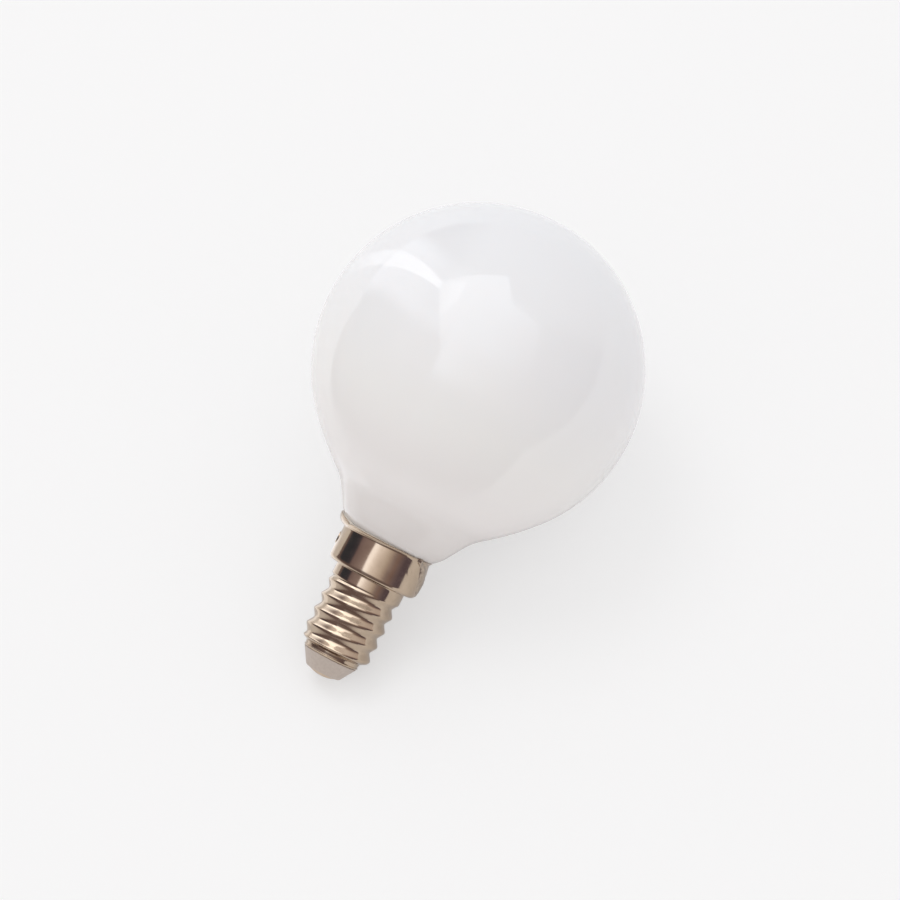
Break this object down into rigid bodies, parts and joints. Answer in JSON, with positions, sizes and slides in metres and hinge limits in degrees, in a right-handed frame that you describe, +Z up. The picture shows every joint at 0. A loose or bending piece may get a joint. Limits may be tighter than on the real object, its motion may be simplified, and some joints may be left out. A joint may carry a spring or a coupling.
{
  "type": "led light bulb",
  "caption": "Small globe light bulb with an opal glass envelope and a nickel-plated candelabra screw cap, lying on its side.",
  "frame": {"origin": "on the surface that the bulb lies on, under the middle of its box", "axes": "+X horizontal, from the cap towards the globe; +Z up; +Y to the left when looking along +X. The bulb's own axis lies in the XZ plane and rises towards +X."},
  "size_m": [0.0754, 0.0522, 0.0523],
  "materials": {
    "opal_glass": "glossy white opal",
    "nickel_plate": "nickel-plated sheet, slightly warm, polished",
    "cement": "matt basing cement",
    "insulator": "satin, greyish beige",
    "contact_metal": "tinned brass, dull",
    "solder": "uneven soft solder, satin"
  },
  "bodies": {
    "root": {"glass_globe": "opal_glass", "screw_shell": "nickel_plate", "basing_cement": "cement", "insulator": "insulator", "centre_contact": "contact_metal", "side_solder": "solder"}
  },
  "joints": []
}
